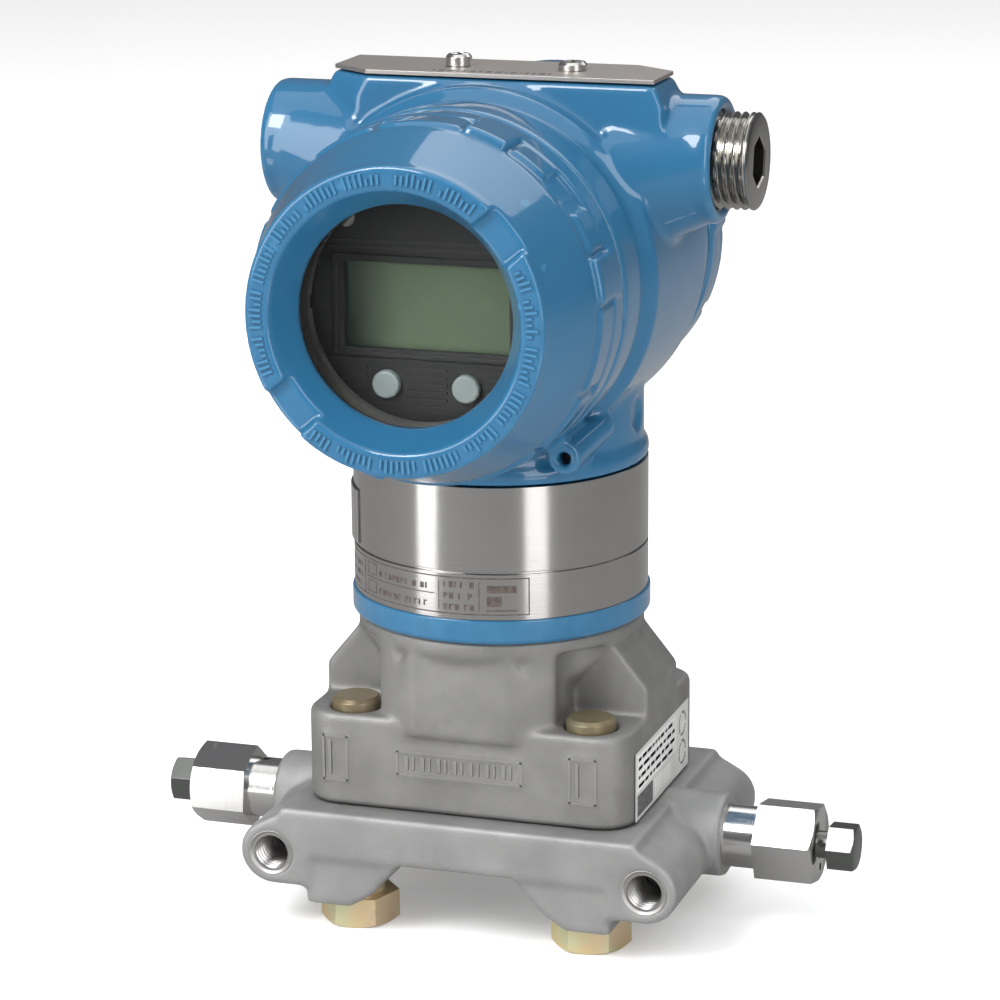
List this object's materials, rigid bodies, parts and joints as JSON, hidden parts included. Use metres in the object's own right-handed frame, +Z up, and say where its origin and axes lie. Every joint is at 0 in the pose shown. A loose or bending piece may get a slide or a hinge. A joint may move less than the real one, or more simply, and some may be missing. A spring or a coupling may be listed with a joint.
{
  "type": "differential pressure transmitter",
  "caption": "Differential pressure transmitter on a coplanar flange, with drain valves, a round two-compartment housing, a display window and side conduit entries.",
  "frame": {"origin": "midway between the two process ports, on the underside of the flange", "axes": "+X along the process ports and the drain valves, towards the plugged conduit entry; -Y the way the display faces; +Z up through the sensor module and the housing"},
  "size_m": [0.1611, 0.1215, 0.1916],
  "materials": {
    "cast_flange": "bead-blasted stainless casting",
    "cast_module": "bead-blasted stainless casting, slightly warmer",
    "zinc_bolt": "yellow zinc plate",
    "valve_steel": "bright machined stainless steel",
    "vent_steel": "machined stainless steel, duller",
    "blue_paint": "gloss blue paint over aluminium",
    "brushed_can": "satin turned stainless steel",
    "plate_steel": "fine brushed plate",
    "label_print": "white printed label",
    "seal_rubber": "matte black",
    "bright_steel": "bright stainless steel",
    "screw_steel": "bright stainless steel",
    "meter_black": "matte black",
    "terminal_black": "matte black",
    "lcd_green": "grey-green reflective display",
    "board_green": "coated circuit board",
    "button_grey": "light grey",
    "adjust_white": "white",
    "window_glass": "clear flat glass"
  },
  "bodies": {
    "flange_and_module": {"coplanar_flange": "cast_flange", "module_base": "cast_module", "side_label": "label_print", "module_collar": "blue_paint", "sensor_module_can": "brushed_can", "module_tag": "plate_steel", "sensor_cell": "bright_steel", "module_board": "board_green", "module_connector": "terminal_black", "housing_oring": "seal_rubber", "flange_bolt_front_left": "zinc_bolt", "flange_bolt_rear_left": "zinc_bolt", "valve_seat_left": "valve_steel", "process_oring_left": "seal_rubber", "isolating_diaphragm_left": "bright_steel", "isolator_tube_left": "bright_steel", "flange_bolt_front_right": "zinc_bolt", "flange_bolt_rear_right": "zinc_bolt", "valve_seat_right": "valve_steel", "process_oring_right": "seal_rubber", "isolating_diaphragm_right": "bright_steel", "isolator_tube_right": "bright_steel"},
    "housing": {"electronics_housing": "blue_paint", "rotation_set_screw": "screw_steel", "nameplate_screw_left": "screw_steel", "nameplate_screw_right": "screw_steel", "conduit_plug": "bright_steel", "display_housing": "meter_black", "lcd_panel": "lcd_green", "display_board": "board_green", "display_screws": "screw_steel", "electronics_puck": "terminal_black", "electronics_screws": "screw_steel", "terminal_block": "terminal_black", "terminal_screws": "screw_steel", "terminal_block_screws": "screw_steel", "ground_screw": "screw_steel"},
    "display_cover_seal": {"display_cover_oring": "seal_rubber"},
    "display_cover": {"display_cover": "blue_paint", "cover_window": "window_glass", "window_gasket": "seal_rubber", "window_retainer": "bright_steel"},
    "rear_cover_seal": {"rear_cover_oring": "seal_rubber"},
    "rear_cover": {"rear_cover": "blue_paint"},
    "nameplate": {"nameplate": "plate_steel"},
    "vent_ball_left": {"vent_ball_left": "valve_steel"},
    "vent_ball_right": {"vent_ball_right": "valve_steel"},
    "vent_screw_left": {"vent_screw_left": "vent_steel"},
    "vent_screw_right": {"vent_screw_right": "vent_steel"},
    "display_button_left": {"display_button_left": "button_grey"},
    "display_button_right": {"display_button_right": "button_grey"},
    "adjust_button_zero": {"adjust_button_zero": "adjust_white"},
    "adjust_button_span": {"adjust_button_span": "adjust_white"}
  },
  "joints": [
    {"name": "housing_turn", "type": "hinge", "parent": "flange_and_module", "child": "housing", "pos_m": [0, 0, 0.1], "axis": [0, 0, 1], "range_deg": [-180, 180]},
    {"name": "display_cover_travel", "type": "slide", "parent": "housing", "child": "display_cover_seal", "axis": [0, -1, 0], "range_m": [0, 0.01058]},
    {"name": "display_cover_turn", "type": "hinge", "parent": "display_cover_seal", "child": "display_cover", "pos_m": [0, -0.05, 0.1397], "axis": [0, -1, 0], "range_deg": [0, 1800]},
    {"name": "rear_cover_travel", "type": "slide", "parent": "housing", "child": "rear_cover_seal", "axis": [0, 1, 0], "range_m": [0, 0.01058]},
    {"name": "rear_cover_turn", "type": "hinge", "parent": "rear_cover_seal", "child": "rear_cover", "pos_m": [0, 0.045, 0.1397], "axis": [0, 1, 0], "range_deg": [0, 1800]},
    {"name": "nameplate_swing", "type": "hinge", "parent": "housing", "child": "nameplate", "pos_m": [-0.0088, 0, 0.1817], "axis": [0, 0, 1], "range_deg": [-120, 0]},
    {"name": "vent_left_travel", "type": "slide", "parent": "flange_and_module", "child": "vent_ball_left", "axis": [-1, 0, 0], "range_m": [0, 0.00317]},
    {"name": "vent_left_turn", "type": "hinge", "parent": "vent_ball_left", "child": "vent_screw_left", "pos_m": [-0.0745, 0, 0.0138], "axis": [-1, 0, 0], "range_deg": [0, 1080]},
    {"name": "vent_right_travel", "type": "slide", "parent": "flange_and_module", "child": "vent_ball_right", "axis": [1, 0, 0], "range_m": [-0.00212, 0.00106]},
    {"name": "vent_right_turn", "type": "hinge", "parent": "vent_ball_right", "child": "vent_screw_right", "pos_m": [0.0765, 0, 0.0138], "axis": [1, 0, 0], "range_deg": [-720, 360]},
    {"name": "display_button_left_press", "type": "slide", "parent": "housing", "child": "display_button_left", "axis": [0, 1, 0], "range_m": [0, 0.001], "stiffness_N_per_m": 500, "springref_m": -0.0004},
    {"name": "display_button_right_press", "type": "slide", "parent": "housing", "child": "display_button_right", "axis": [0, 1, 0], "range_m": [0, 0.001], "stiffness_N_per_m": 500, "springref_m": -0.0004},
    {"name": "adjust_zero_press", "type": "slide", "parent": "housing", "child": "adjust_button_zero", "axis": [0, 0, -1], "range_m": [0, 0.0015], "stiffness_N_per_m": 500, "springref_m": -0.0004},
    {"name": "adjust_span_press", "type": "slide", "parent": "housing", "child": "adjust_button_span", "axis": [0, 0, -1], "range_m": [0, 0.0015], "stiffness_N_per_m": 500, "springref_m": -0.0004}
  ],
  "couplings": [
    {"joint": "display_cover_turn", "follows": "display_cover_travel", "rad_per_m": 2968.4},
    {"joint": "rear_cover_turn", "follows": "rear_cover_travel", "rad_per_m": 2968.4},
    {"joint": "vent_left_turn", "follows": "vent_left_travel", "rad_per_m": 5936.9},
    {"joint": "vent_right_turn", "follows": "vent_right_travel", "rad_per_m": 5936.9}
  ]
}
